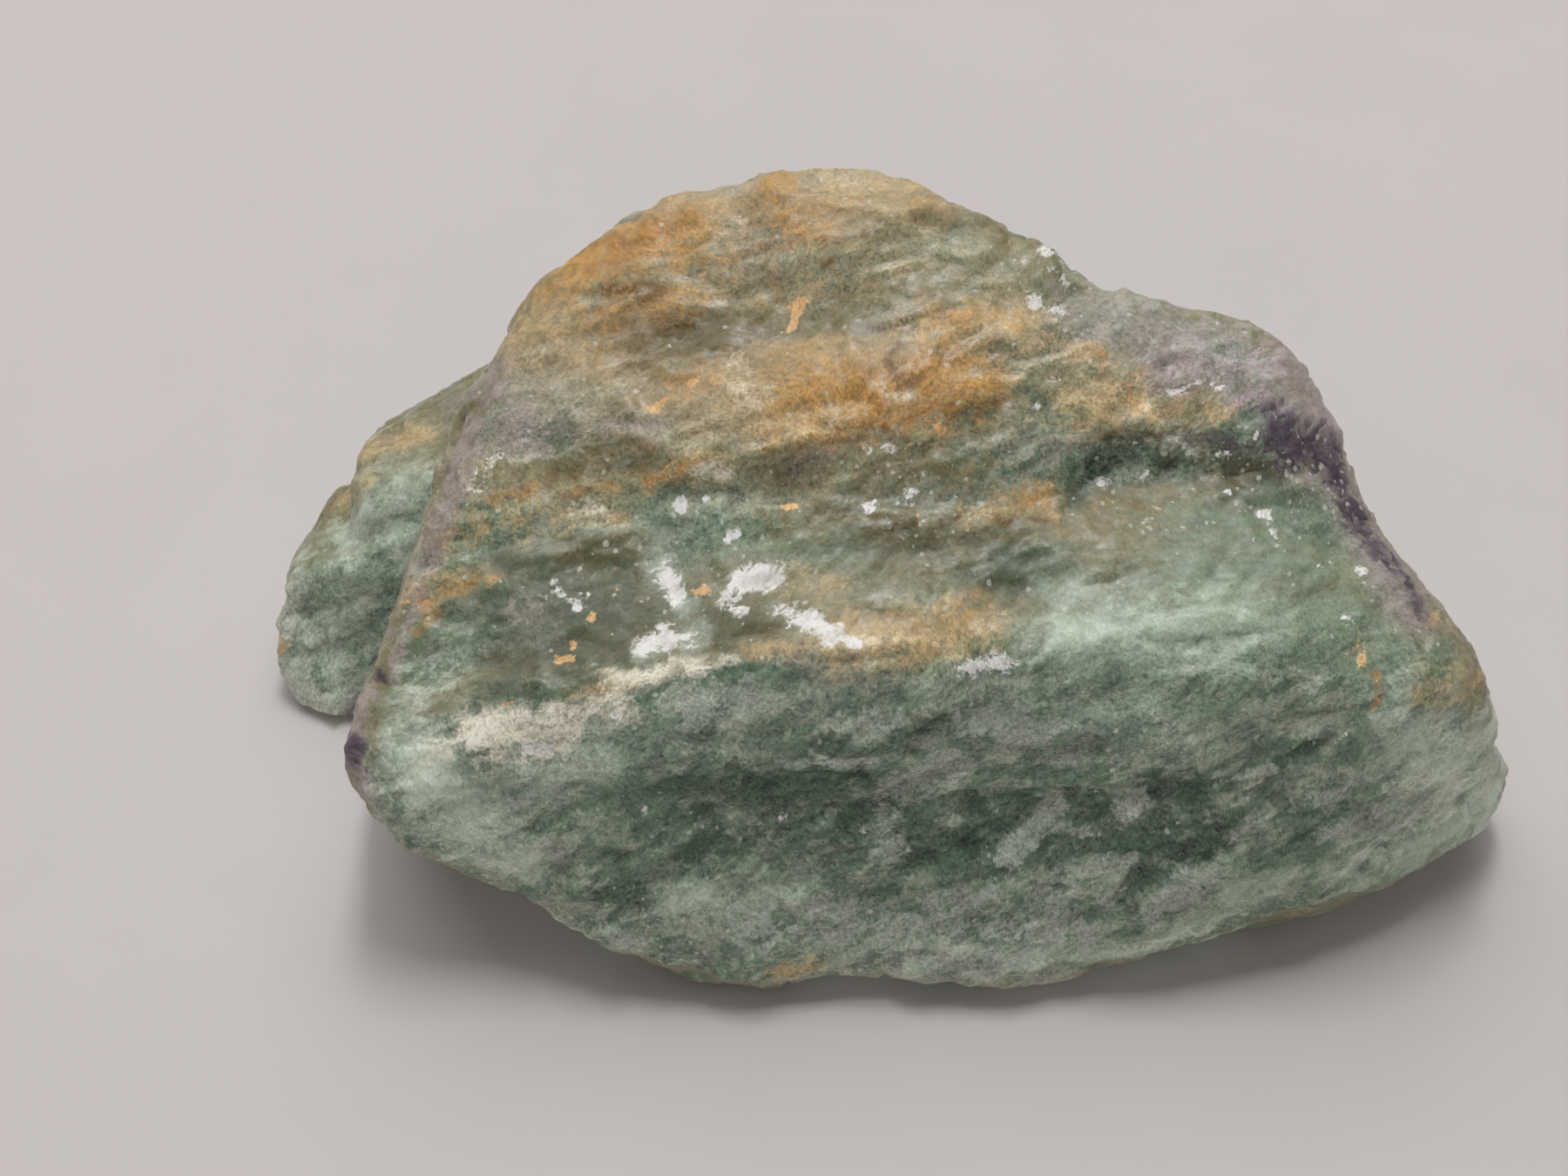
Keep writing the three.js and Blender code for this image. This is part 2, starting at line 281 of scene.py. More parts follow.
# Pale mint patches. right_end, left_face and low_rim lie on thin edges and are partly the stone's pale colour
# and partly painted glow of light through those edges.
MARKS["mint"] = {
    "band": (1215, 722, 1420, 712, 34, 0.8),
    "band_low": (1230, 760, 1420, 755, 16, 0.6),
    "band_tail": (1200, 670, 1245, 680, 16, 0.7),
    "left": (480, 800, 530, 765, 28, 0.35),
    "left_face": (470, 860, 480, 950, 18, 0.6),
    "under_cream": (660, 860, 700, 845, 16, 0.5),
    "right_end": (1600, 985, 1700, 930, 34, 0.9),
    "right_end_up": (1610, 860, 1705, 860, 40, 0.75),
    "right_low_plate": (1520, 1005, 1570, 1015, 12, 0.8),
    "triangle_plate": (1415, 1030, 1485, 1015, 14, 0.95),
    "low_plate": (765, 1040, 800, 1020, 15, 0.7),
    "low_rim": (1190, 1095, 1300, 1090, 16, 0.7),
    "low_rim_right": (1330, 1075, 1420, 1055, 12, 0.7),
    "toe_left": (342, 650, 345, 760, 16, 0.5),
    "notch": (570, 995, 620, 1005, 10, 0.6),
}

# Milky patches. left_face, right_end, right_low, low_rim and low_rim_right lie on thin edges and are partly
# the stone's milky colour and partly painted glow of light through those edges.
MARKS["milk"] = {
    "left_face": (480, 870, 540, 940, 34, 0.9),
    "left_low": (540, 980, 610, 1000, 18, 0.8),
    "left_middle": (600, 900, 690, 870, 26, 0.6),
    "left_corner": (470, 800, 520, 790, 26, 0.35),
    "right_end": (1630, 880, 1705, 920, 34, 0.7),
    "right_low": (1560, 990, 1690, 965, 18, 0.7),
    "right_shoulder": (1600, 820, 1690, 830, 26, 0.6),
    "band": (1215, 728, 1330, 700, 16, 0.5),
    "toe": (345, 640, 348, 780, 24, 0.6),
    "toe_side": (380, 700, 390, 790, 16, 0.6),
    "low_rim": (1040, 1108, 1190, 1110, 8, 0.7),
    "bruise_veil": (758, 648, 785, 695, 14, 0.6),
    "bruise_veil_up": (830, 678, 892, 660, 14, 0.5),
    "bruise_veil_low": (738, 745, 795, 730, 14, 0.6),
    "bruise_veil_right": (900, 700, 985, 742, 13, 0.6),
    "front_right": (1180, 835, 1400, 845, 22, 0.35),
    "shoulder": (400, 620, 470, 560, 36, 0.6),
    "low_rim_right": (1190, 1110, 1400, 1068, 8, 0.6),
    "shoulder_wash": (420, 560, 470, 640, 30, 0.5),
    "right_low_wash": (1560, 950, 1640, 940, 24, 0.5),
    "low_field": (900, 1080, 1300, 1080, 24, 0.35),
    "front_left_wash": (640, 880, 760, 850, 30, 0.35),
    "upper_front": (1080, 820, 1300, 815, 26, 0.3),
    "shoulder_low": (350, 720, 430, 680, 40, 0.4),
    "front_low": (800, 1030, 920, 1020, 26, 0.4),
}

MARKS["lilac"] = {
    "shoulder": (1420, 430, 1500, 455, 22, 0.7),
    "shoulder_low": (1410, 462, 1440, 470, 10, 0.6),
    "rim": (1490, 455, 1515, 500, 16, 0.6),
    "plate": (1330, 440, 1395, 430, 12, 0.35),
    "left_edge": (410, 805, 420, 870, 7, 0.5),
}

MARKS["sand"] = {
    "crown_left": (585, 385, 650, 372, 24, 0.7),
    "crown_top": (960, 215, 1060, 222, 30, 0.6),
    "crown_middle": (800, 250, 860, 240, 20, 0.6),
    "corner": (780, 335, 835, 305, 20, 0.6),
    "under_crown": (850, 405, 950, 400, 16, 0.7),
    "pale_column": (838, 430, 880, 470, 26, 0.95),
    "around_patch": (900, 490, 990, 478, 20, 0.7),
    "patch_left": (905, 460, 950, 440, 26, 0.7),
    "patch_right": (1090, 425, 1150, 440, 20, 0.7),
    "patch_above": (1060, 380, 1185, 370, 24, 0.8),
    "upper_left": (600, 415, 700, 405, 22, 0.5),
    "seam_halo": (745, 545, 835, 535, 12, 0.6),
    "seam_top": (905, 508, 965, 502, 5, 0.8),
    "right_plate": (1245, 465, 1300, 455, 24, 0.85),
    "right_plate_up": (1225, 405, 1255, 410, 12, 0.8),
    "right_plate_far": (1310, 470, 1395, 472, 13, 0.75),
    "left_stain": (470, 672, 560, 665, 12, 0.6),
    "left_field": (510, 620, 600, 600, 20, 0.5),
    "lower_right": (1120, 590, 1200, 575, 16, 0.7),
    "dish_right": (900, 665, 960, 680, 14, 0.6),
    "ridge": (860, 745, 960, 735, 13, 0.7),
    "shoulder_top": (425, 522, 485, 498, 15, 0.9),
    "shoulder_corner": (398, 572, 425, 552, 12, 0.8),
    "right_rim": (1650, 712, 1705, 800, 9, 0.8),
    "right_rim_low": (1705, 800, 1726, 865, 8, 0.8),
    "right_stain": (1635, 792, 1680, 780, 18, 0.6),
    "low_corner": (895, 1112, 940, 1106, 9, 0.9),
    "ridge_yellow": (965, 735, 1118, 720, 26, 1.0),
    "fishtail": (650, 600, 705, 592, 14, 0.7),
    "crown_field": (720, 300, 1000, 320, 46, 0.25),
}

MARKS["ochre"] = {
    "corner": (665, 312, 780, 268, 30, 1.0),
    "corner_low": (640, 335, 720, 335, 20, 0.6),
    "crown_brown": (690, 362, 790, 345, 20, 0.55),
    "top_patch": (890, 215, 912, 262, 19, 0.8),
    "top_patch_right": (925, 240, 945, 265, 14, 0.6),
    "top_corner": (1050, 240, 1076, 225, 9, 0.8),
    "big_patch": (925, 450, 1090, 442, 36, 0.9),
    "big_patch_low": (970, 478, 1050, 470, 20, 0.65),
    "big_patch_right": (1060, 445, 1135, 442, 16, 0.8),
    "salmon": (1080, 368, 1110, 360, 13, 0.8),
    "salmon_right": (1148, 358, 1172, 372, 10, 0.5),
    "left_patch": (775, 445, 808, 438, 13, 0.65),
    "right_edge": (1300, 448, 1306, 470, 6, 0.8),
    "right_stain": (1175, 568, 1205, 572, 12, 0.6),
    "right_brow": (1250, 400, 1262, 415, 7, 0.8),
    "seam_mid": (740, 552, 800, 535, 8, 0.65),
    "seam_left": (648, 570, 740, 553, 6, 0.55),
    "seam_far": (800, 520, 890, 519, 4, 0.5),
    "fishtail_left": (562, 578, 612, 562, 4, 0.6),
    "ridge_patch": (1010, 740, 1060, 735, 16, 0.3),
    "ridge_patch_up": (1095, 712, 1120, 690, 12, 0.35),
    "ridge_left": (650, 800, 730, 785, 7, 0.7),
    "left_line": (485, 692, 565, 664, 6, 0.8),
    "left_line_low": (485, 720, 500, 700, 7, 0.7),
    "toe_tip": (318, 752, 324, 735, 7, 1.0),
    "crown_field": (800, 290, 960, 250, 30, 0.3),
}

MARKS["rust"] = {
    "corner": (690, 286, 765, 270, 13, 0.65),
    "corner_low": (680, 310, 730, 300, 12, 0.6),
    "big_left": (995, 428, 1012, 480, 13, 0.65),
    "big_middle": (1012, 482, 1060, 474, 12, 0.55),
    "big_right": (1070, 418, 1105, 412, 11, 0.55),
    "big_far": (1105, 452, 1075, 470, 9, 0.6),
    "far_right": (1577, 770, 1581, 806, 4, 0.9),
}

# Brown stains. step, step_far and seam_line are painted shadow: dark lines under the ledges of the crown and
# the seam.
MARKS["brown"] = {
    "crack": (1022, 398, 1056, 370, 4, 0.8),
    "crack_low": (1025, 405, 1043, 435, 13, 0.6),
    "corner_shade": (700, 335, 765, 332, 12, 0.5),
    "step": (938, 298, 955, 292, 5, 0.9),
    "step_far": (955, 290, 1000, 268, 3, 0.7),
    "red_spot": (1148, 264, 1153, 268, 7, 0.9),
    "patch_foot": (1010, 495, 1050, 502, 6, 0.7),
    "seam_line": (835, 522, 905, 512, 2, 0.9),
    "right_stain": (1150, 600, 1200, 596, 8, 0.6),
    "dish": (700, 660, 730, 665, 10, 0.5),
}

MARKS["deep"] = {
    "hollow": (1245, 532, 1310, 520, 17, 0.7),
    "hollow_low": (1228, 575, 1248, 545, 14, 0.7),
    "hollow_right": (1400, 530, 1520, 545, 22, 0.35),
    "hollow_far": (1310, 530, 1400, 535, 14, 0.5),
    "front_spot": (797, 840, 818, 838, 11, 0.8),
    "front_streak": (948, 858, 1000, 864, 11, 0.95),
    "front_streak_up": (1000, 864, 1085, 826, 10, 0.9),
    "front_block": (865, 918, 940, 905, 18, 1.0),
    "front_block_up": (890, 890, 985, 894, 9, 0.9),
    "front_block_low": (855, 955, 920, 965, 16, 0.5),
    "front_triangle": (800, 990, 812, 955, 14, 0.95),
    "front_shade": (745, 950, 780, 980, 20, 0.4),
    "low_left": (690, 1020, 745, 1050, 18, 0.5),
    "hollow_wash": (1045, 960, 1150, 965, 38, 0.55),
    "hollow_wash_right": (1250, 945, 1400, 945, 34, 0.5),
    "hollow_one": (1040, 985, 1065, 975, 14, 0.95),
    "hollow_two": (1105, 960, 1155, 985, 17, 0.85),
    "hollow_two_up": (1105, 915, 1135, 940, 14, 0.7),
    "hollow_left": (1035, 925, 1060, 950, 12, 0.7),
    "hollow_three": (1160, 955, 1180, 920, 11, 0.8),
    "hollow_four": (1230, 918, 1285, 935, 14, 0.9),
    "hollow_five": (1180, 985, 1225, 990, 14, 0.85),
    "hollow_six": (1255, 965, 1310, 965, 22, 0.85),
    "hollow_seven": (1320, 908, 1375, 915, 14, 0.9),
    "hollow_eight": (1355, 975, 1405, 955, 19, 0.85),
    "hollow_nine": (1288, 1030, 1312, 1005, 15, 0.85),
    "low_middle": (985, 1032, 1020, 1020, 10, 0.7),
    "low_right": (1075, 1060, 1150, 1055, 14, 0.5),
    "right_streak": (1462, 878, 1527, 843, 7, 0.75),
    "right_streak_left": (1440, 908, 1480, 922, 8, 0.6),
    "right_streak_two": (1500, 936, 1545, 924, 8, 0.6),
    "right_streak_three": (1570, 935, 1640, 909, 6, 0.5),
    "right_streak_low": (1485, 968, 1520, 955, 10, 0.6),
    "right_dip": (1575, 948, 1605, 940, 8, 0.6),
    "upper_front": (1200, 845, 1300, 840, 16, 0.45),
    "upper_front_right": (1255, 790, 1285, 770, 12, 0.5),
    "front_field": (760, 900, 1000, 930, 50, 0.55),
    "front_field_low": (820, 960, 1010, 990, 40, 0.35),
    "hollow_field": (1040, 950, 1400, 950, 52, 0.4),
    "right_field": (1420, 900, 1560, 930, 34, 0.3),
}

MARKS["plate"] = {
    "front_upper": (790, 815, 850, 800, 18, 0.6),
    "front_pink": (985, 830, 1018, 822, 13, 0.7),
    "front_pink_low": (1040, 902, 1095, 880, 18, 0.75),
    "front_pink_right": (1125, 830, 1195, 842, 20, 0.6),
    "front_column": (1010, 920, 1025, 975, 12, 0.7),
    "front_left": (600, 965, 625, 975, 16, 0.6),
    "front_left_up": (600, 915, 640, 905, 14, 0.5),
    "streak": (900, 875, 1010, 877, 5, 0.85),
    "streak_right": (1195, 870, 1235, 868, 6, 0.7),
    "streak_up": (1320, 830, 1360, 832, 5, 0.6),
    "light_band": (1395, 895, 1455, 888, 5, 0.7),
    "right_flake": (1510, 920, 1560, 892, 8, 0.7),
    "right_patch": (1520, 962, 1595, 936, 12, 0.8),
    "right_flake_low": (1420, 962, 1450, 940, 10, 0.6),
    "flake_one": (1160, 978, 1216, 930, 11, 0.95),
    "flake_one_side": (1215, 945, 1250, 955, 7, 0.6),
    "flake_two": (1290, 935, 1312, 918, 9, 0.9),
    "flake_three": (1240, 1000, 1300, 985, 9, 0.8),
    "flake_four": (1328, 1048, 1380, 1005, 14, 0.95),
    "flake_five": (1262, 1055, 1285, 1025, 8, 0.7),
    "low_one": (1180, 1040, 1240, 1020, 9, 0.8),
    "low_two": (1065, 1036, 1140, 1024, 9, 0.8),
    "low_three": (920, 1040, 972, 1034, 10, 0.8),
    "low_four": (1010, 1080, 1100, 1050, 13, 0.7),
    "low_five": (1060, 1102, 1180, 1100, 11, 0.75),
    "low_rim_left": (690, 1068, 760, 1096, 8, 0.8),
    "low_field": (860, 1060, 1250, 1070, 30, 0.45),
}

MARKS["purple"] = {
    "spot": (1456, 494, 1480, 518, 15, 1.0),
    "trail_low": (1505, 512, 1534, 550, 13, 0.95),
    "rim": (1538, 555, 1562, 600, 12, 0.75),
    "rim_mid": (1566, 605, 1604, 650, 12, 0.7),
    "rim_low": (1604, 650, 1636, 700, 10, 0.6),
    "left_edge": (408, 815, 420, 860, 12, 0.95),
    "left_edge_low": (404, 875, 412, 892, 9, 0.85),
    "left_edge_up": (428, 755, 434, 780, 7, 0.7),
    "flecked": (1340, 500, 1410, 505, 11, 0.4),
    "spot_shade": (1410, 512, 1500, 535, 14, 0.4),
}

MARKS["cream"] = {
    "ridge_left": (490, 862, 560, 845, 15, 0.6),
    "ridge_mid": (545, 838, 650, 832, 18, 1.0),
    "ridge_up": (660, 812, 710, 815, 14, 0.7),
    "ridge_right": (700, 785, 800, 762, 9, 0.9),
    "ridge_far": (800, 762, 840, 755, 7, 0.7),
    "ridge_end": (985, 738, 1020, 735, 14, 0.3),
    "ridge_patch": (1120, 722, 1150, 714, 10, 0.3),
    "ridge_low": (560, 868, 640, 862, 12, 0.6),
    "crown_spot": (832, 262, 845, 258, 8, 0.4),
    "top_spot": (958, 208, 985, 212, 9, 0.3),
    "pale_column": (845, 410, 862, 465, 16, 0.35),
    "patch_glow": (1000, 448, 1055, 455, 6, 0.5),
    "fishtail": (662, 592, 690, 590, 9, 0.6),
    "seam_pale": (800, 546, 835, 541, 6, 0.7),
    "hollow_foot": (1290, 500, 1300, 505, 7, 0.3),
}

# White bruises and specks. The strokes whose names hold glint or veil are painted glints.
MARKS["white"] = {
    "bruise_one": (763, 655, 776, 682, 9, 1.0),
    "bruise_two": (848, 670, 888, 660, 11, 1.0),
    "bruise_two_low": (828, 690, 850, 702, 7, 0.7),
    "bruise_four": (738, 740, 762, 724, 10, 0.95),
    "bruise_four_right": (762, 742, 788, 736, 8, 0.8),
    "bruise_five": (905, 700, 950, 724, 10, 1.0),
    "bruise_five_tail": (950, 728, 985, 742, 5, 0.7),
    "bruise_six": (1108, 768, 1148, 762, 8, 1.0),
    "spot_one": (658, 686, 662, 692, 6, 1.0),
    "spot_two": (640, 668, 648, 674, 4, 0.9),
    "spot_three": (777, 574, 781, 580, 4, 0.9),
    "spot_four": (836, 617, 844, 618, 4, 0.9),
    "spot_five": (682, 658, 685, 662, 3, 0.8),
    "spot_six": (808, 570, 812, 574, 4, 0.7),
    "ridge_fleck": (601, 862, 628, 864, 5, 0.9),
    "ridge_spot": (700, 822, 712, 820, 4, 0.6),
    "left_glint": (545, 560, 572, 522, 7, 0.5),
    "middle_one": (1040, 568, 1050, 562, 5, 0.8),
    "middle_two": (995, 588, 1003, 584, 4, 0.7),
    "middle_three": (1022, 515, 1030, 512, 4, 0.6),
    "middle_four": (994, 510, 998, 516, 4, 0.6),
    "middle_five": (1035, 605, 1040, 612, 4, 0.6),
    "right_one": (1262, 552, 1272, 552, 5, 0.7),
    "right_two": (1314, 552, 1322, 552, 4, 0.6),
    "right_three": (1312, 583, 1324, 582, 5, 0.6),
    "right_four": (1314, 596, 1320, 595, 4, 0.7),
    "right_five": (1350, 500, 1370, 515, 6, 0.4),
    "right_six": (1402, 522, 1408, 522, 4, 0.8),
    "right_seven": (1402, 568, 1412, 566, 4, 0.7),
    "right_eight": (1442, 496, 1456, 498, 4, 0.6),
    "right_nine": (1446, 590, 1456, 596, 4, 0.55),
    "right_ten": (1462, 606, 1468, 612, 4, 0.6),
    "right_eleven": (1515, 645, 1520, 655, 4, 0.7),
    "right_twelve": (1562, 652, 1568, 658, 5, 0.7),
    "right_far": (1545, 708, 1550, 714, 5, 0.5),
    "glint_one": (1190, 290, 1215, 300, 4, 0.5),
    "glint_two": (1205, 312, 1230, 326, 4, 0.6),
    "crown_frost": (1185, 345, 1220, 352, 8, 0.55),
    "grey_flake": (1180, 468, 1186, 470, 4, 0.7),
    "grey_flake_right": (1205, 441, 1216, 440, 4, 0.6),
    "plate_frost": (1340, 448, 1400, 444, 5, 0.5),
    "arc": (854, 893, 890, 891, 2, 0.9),
    "front_two": (741, 931, 744, 930, 3, 0.7),
    "front_three": (894, 939, 897, 939, 3, 0.8),
    "front_four": (986, 953, 990, 957, 3, 0.7),
    "front_five": (1545, 844, 1552, 842, 3, 0.7),
    "low_glint": (975, 1028, 1000, 1016, 2, 0.7),
}

MARKS["chip"] = {
    "dumbbell_top": (914, 352, 922, 350, 6, 1.0),
    "dumbbell_low": (906, 378, 914, 366, 6, 1.0),
    "left_top": (790, 440, 804, 436, 5, 1.0),
    "left_low": (742, 464, 750, 468, 5, 1.0),
    "left_low_right": (752, 458, 762, 452, 5, 0.9),
    "under_seam": (895, 583, 908, 584, 6, 1.0),
    "dish": (798, 682, 810, 676, 6, 1.0),
    "dish_left": (706, 681, 708, 682, 6, 0.9),
    "dish_long": (680, 712, 684, 702, 4, 1.0),
    "dish_low": (655, 737, 658, 741, 5, 0.9),
    "dish_foot": (642, 757, 656, 755, 4, 1.0),
    "far_left": (463, 690, 466, 693, 5, 0.8),
    "low_left": (582, 811, 586, 810, 5, 0.8),
    "left_edge": (571, 684, 576, 678, 4, 0.8),
    "mid_one": (1073, 488, 1080, 494, 5, 1.0),
    "mid_two": (1040, 512, 1048, 508, 5, 0.7),
    "mid_three": (1091, 618, 1096, 622, 5, 0.9),
    "mid_four": (1056, 590, 1060, 592, 5, 0.7),
    "right_one": (1550, 752, 1562, 750, 6, 1.0),
    "right_one_top": (1556, 744, 1560, 738, 4, 1.0),
    "right_one_foot": (1560, 760, 1564, 757, 4, 0.9),
    "right_two": (1513, 768, 1518, 764, 4, 1.0),
}

# Where the painted glints are thick.
MARKS["frost_glints"] = {
    "hollow": (1400, 510, 1525, 560, 38, 1.0),
    "hollow_low": (1440, 590, 1470, 610, 22, 0.8),
    "hollow_left": (1255, 565, 1335, 600, 24, 0.8),
    "hollow_top": (1340, 490, 1440, 495, 16, 0.8),
    "dish_top": (690, 590, 850, 640, 40, 0.6),
    "bruises": (740, 660, 880, 700, 40, 0.5),
    "bruises_low": (730, 740, 830, 720, 24, 0.5),
    "middle": (990, 510, 1060, 600, 36, 0.8),
    "crown_right": (1180, 300, 1240, 350, 24, 0.7),
    "crown_frost": (1180, 350, 1230, 365, 20, 0.6),
    "left": (560, 530, 640, 450, 24, 0.4),
    "ridge": (690, 820, 830, 760, 18, 0.4),
    "patch": (960, 440, 1100, 440, 40, 0.2),
    "shoulder": (1340, 430, 1440, 440, 20, 0.5),
    "right": (1500, 650, 1570, 660, 18, 0.5),
    "low_left": (700, 1040, 820, 1090, 30, 0.5),
}

# Steps where one broken layer ends above the next: how far the surface drops just below the step, over
# what distance it comes back, and the step's line of pixels from left to right.
STEPS = {
    "seam": (0.4, 3.0, ((831, 528), (884, 519), (933, 507), (1000, 500), (1045, 500))),
    "crown": (0.2, 2.5, ((835, 308), (899, 306), (936, 298), (1001, 267))),
    "dark_hollow": (0.4, 2.5, ((1222, 590), (1232, 530), (1250, 500), (1400, 490))),
    "dish": (0.3, 3.5, ((560, 660), (640, 640), (740, 640))),
    "dish_low": (-0.5, 2.5, ((600, 800), (700, 765), (760, 745))),
    "front_streak": (0.6, 1.6, ((944, 868), (1008, 866), (1059, 838), (1103, 800))),
    "front_block": (0.5, 3.0, ((850, 891), (889, 890), (985, 884))),
    "front_hollow": (0.8, 4.0, ((1027, 925), (1100, 905), (1180, 905), (1290, 900), (1418, 893))),
    "low_plates": (-0.5, 2.5, ((760, 1012), (830, 995), (930, 985))),
    "right_streak": (0.5, 1.5, ((1462, 874), (1500, 852), (1540, 840))),
    "right_low": (0.4, 1.5, ((1475, 930), (1549, 918), (1626, 903))),
}

# Places where the photograph's outline stands out from the solid or dips into it: the pixel, how far
# out in millimetres, and how far round it that fades.
SHAPING = {
    "lilac_corner": (1455, 426, 2.8, 9.0),
    "lilac_side": (1512, 515, 1.2, 8.0),
    "right_corner": (1660, 760, 0.9, 7.0),
    "right_side": (1688, 830, 2.0, 10.0),
    "right_tip": (1712, 880, 1.0, 8.0),
    "crown_top": (960, 212, 1.3, 9.0),
    "crown_corner": (1052, 236, 1.0, 4.0),
    "crown_notch": (1088, 262, -0.8, 4.0),
    "crown_left": (745, 252, 0.6, 7.0),
    "crown_side": (620, 350, 0.9, 7.0),
    "top_corner": (1205, 296, 0.8, 3.5),
    "top_notch": (1246, 332, -0.8, 4.0),
    "bottom_notch": (628, 1004, -2.2, 3.0),
    "bottom_left": (480, 960, 0.6, 5.0),
    "bottom_middle": (845, 1112, 1.2, 9.0),
    "bottom_right": (1480, 1035, -1.2, 9.0),
    "shoulder_corner": (420, 524, 0.8, 4.0),
    "shoulder_notch": (404, 580, -0.9, 2.5),
    "left_low": (418, 870, 1.2, 7.0),
    "toe_foot": (390, 798, 2.4, 6.0),
    "toe_left": (326, 745, 0.8, 4.0),
}


def unit(vector):
    """The vector at length 1."""
    return vector / np.linalg.norm(vector)


def axes_along(direction, facing):
    """Three axes as rows: along the direction, across it, and as near as may be to facing."""
    along = unit(direction)
    across = unit(np.cross(facing, along))
    return np.array([along, across, np.cross(along, across)])


def eased(values, low, high):
    """0 below low, 1 above high, and a smooth rise between."""
    part = np.clip((values - low) / (high - low), 0, 1)
    return part * part * (3 - 2 * part)


def hashed(cell, salt):
    """A number from 0 to 1 for each whole-numbered cell (n by 3), always the same for the same salt."""
    whole = cell.astype(np.int64)
    mixed = whole[:, 0] * 73856093 ^ whole[:, 1] * 19349663 ^ whole[:, 2] * 83492791 ^ salt * 40503
    for _ in range(2):
        mixed = (mixed ^ (mixed >> 15)) * 2246822519 & 0xFFFFFFFF
        mixed = (mixed ^ (mixed >> 13)) * 3266489917 & 0xFFFFFFFF
    return (mixed ^ (mixed >> 16)) / 0xFFFFFFFF


def hashed_vector(cell, salt):
    """Three such numbers, from -1 to 1."""
    return np.stack([hashed(cell, salt + axis) for axis in (0, 1, 2)], axis=1) * 2 - 1


def noise(points, salt):
    """Smooth gradient noise of about -1 to 1, with features about 1 across."""
    floor = np.floor(points)
    part = points - floor
    ease = part * part * part * (part * (part * 6 - 15) + 10)
    total = np.zeros(len(points))
    for corner in np.ndindex(2, 2, 2):
        corner = np.array(corner)
        weight = np.prod(np.where(corner == 1, ease, 1 - ease), axis=1)
        slope = hashed_vector(floor + corner, salt)
        total += weight * np.einsum("ij,ij->i", slope, part - corner)
    return total * 1.4


def rough_noise(points, salt):
    """Noise with finer and finer detail, each time at half the size and height."""
    return sum(noise(points * 2**octave, salt + 17 * octave) / 2**octave for octave in range(4))


def warped(points, size, reach, salt):
    """The points pushed about by slow noise, so that what is drawn on them wanders."""
    push = np.stack([noise(points / size, salt + 31 * axis) for axis in (0, 1, 2)], axis=1)
    return points + reach * push


def plates(points, salt, soft=0.05):
    """Heights of broken plates about 1 across: each a tilted plane of its own, with steps between."""
    floor = np.floor(points)
    count = len(points)
    near = np.full((2, count), 9.0)
    heights = np.zeros((2, count))
    for offset in np.ndindex(3, 3, 3):
        cell = floor + np.array(offset) - 1
        seed = cell + 0.5 + 0.5 * hashed_vector(cell, salt)
        apart = points - seed
        distance = np.linalg.norm(apart, axis=1)
        tilt = hashed_vector(cell, salt + 5)
        height = 0.5 * (hashed(cell, salt + 9) - 0.5) + 0.45 * np.einsum("ij,ij->i", tilt, apart)
        first = distance < near[0]
        second = ~first & (distance < near[1])
        near[1] = np.where(first, near[0], np.where(second, distance, near[1]))
        heights[1] = np.where(first, heights[0], np.where(second, height, heights[1]))
        near[0] = np.where(first, distance, near[0])
        heights[0] = np.where(first, height, heights[0])
    share = 0.5 + 0.5 * np.clip((near[1] - near[0]) / soft, 0, 1)
    return heights[0] * share + heights[1] * (1 - share)


class Surface:
    """The bare stone: a fine closed mesh of the CAD node's shape, and where it lies under the photograph."""

    def __init__(self, node):
        self.mesh = fine_mesh(node)
        count = len(self.mesh.vertices)
        self.points = np.empty(count * 3)
        self.mesh.vertices.foreach_get("co", self.points)
        self.points = self.points.reshape(-1, 3) / MM
        edges = np.empty(len(self.mesh.edges) * 2, dtype=np.int64)
        self.mesh.edges.foreach_get("vertices", edges)
        self.edges = edges.reshape(-1, 2)
        self.smooth()
        self.write(self.points)
        self.normals = np.empty(count * 3)
        self.mesh.vertex_normals.foreach_get("vector", self.normals)
        self.normals = self.normals.reshape(-1, 3)
        faces = [tuple(face.vertices) for face in self.mesh.polygons]
        self.tree = BVHTree.FromPolygons([Vector(point) for point in self.points], faces)

    def neighbour_mean(self, values):
        """For each vertex, the mean of the values at the far ends of its edges."""
        start, end = self.edges.T
        count = len(values)
        links = np.bincount(start, minlength=count) + np.bincount(end, minlength=count)
        total = np.empty_like(values)
        for axis in range(values.shape[1]):
            total[:, axis] = np.bincount(start, values[end, axis], count)
            total[:, axis] += np.bincount(end, values[start, axis], count)
        return total / links[:, None]

    def smooth(self):
        """Wears the edges of the solid's facets away, without shrinking the stone."""
        for _ in range(SMOOTHING_ROUNDS):
            for share in (0.6, -0.62):
                self.points = self.points + share * (self.neighbour_mean(self.points) - self.points)

    def ridges(self):
        """How sharply the stone is bent at each vertex, from 0 to 1."""
        spread = self.normals
        for _ in range(RIDGE_ROUNDS):
            spread = self.neighbour_mean(spread)
        return eased(1 - np.linalg.norm(spread, axis=1), 0.03, 0.14)

    def write(self, points):
        """Moves the mesh's vertices to the points."""
        self.mesh.vertices.foreach_set("co", (points * MM).ravel())
        self.mesh.update()

    def under(self, pixel_x, pixel_y):
        """The point of the stone that the photograph shows at a pixel, and which way it faces."""
        way = (
            (pixel_x - PHOTO_WIDTH / 2) / PIXELS_PER_UNIT * ACROSS
            + (PHOTO_HEIGHT / 2 - pixel_y) / PIXELS_PER_UNIT * UPWARD
            - TOWARD
        )
        place, normal, _, _ = self.tree.ray_cast(Vector(EYE), Vector(unit(way)))
        if place is None:
            place, normal, _, _ = self.tree.find_nearest(Vector(EYE + DISTANCE * way))
        return np.array(place), np.array(normal)


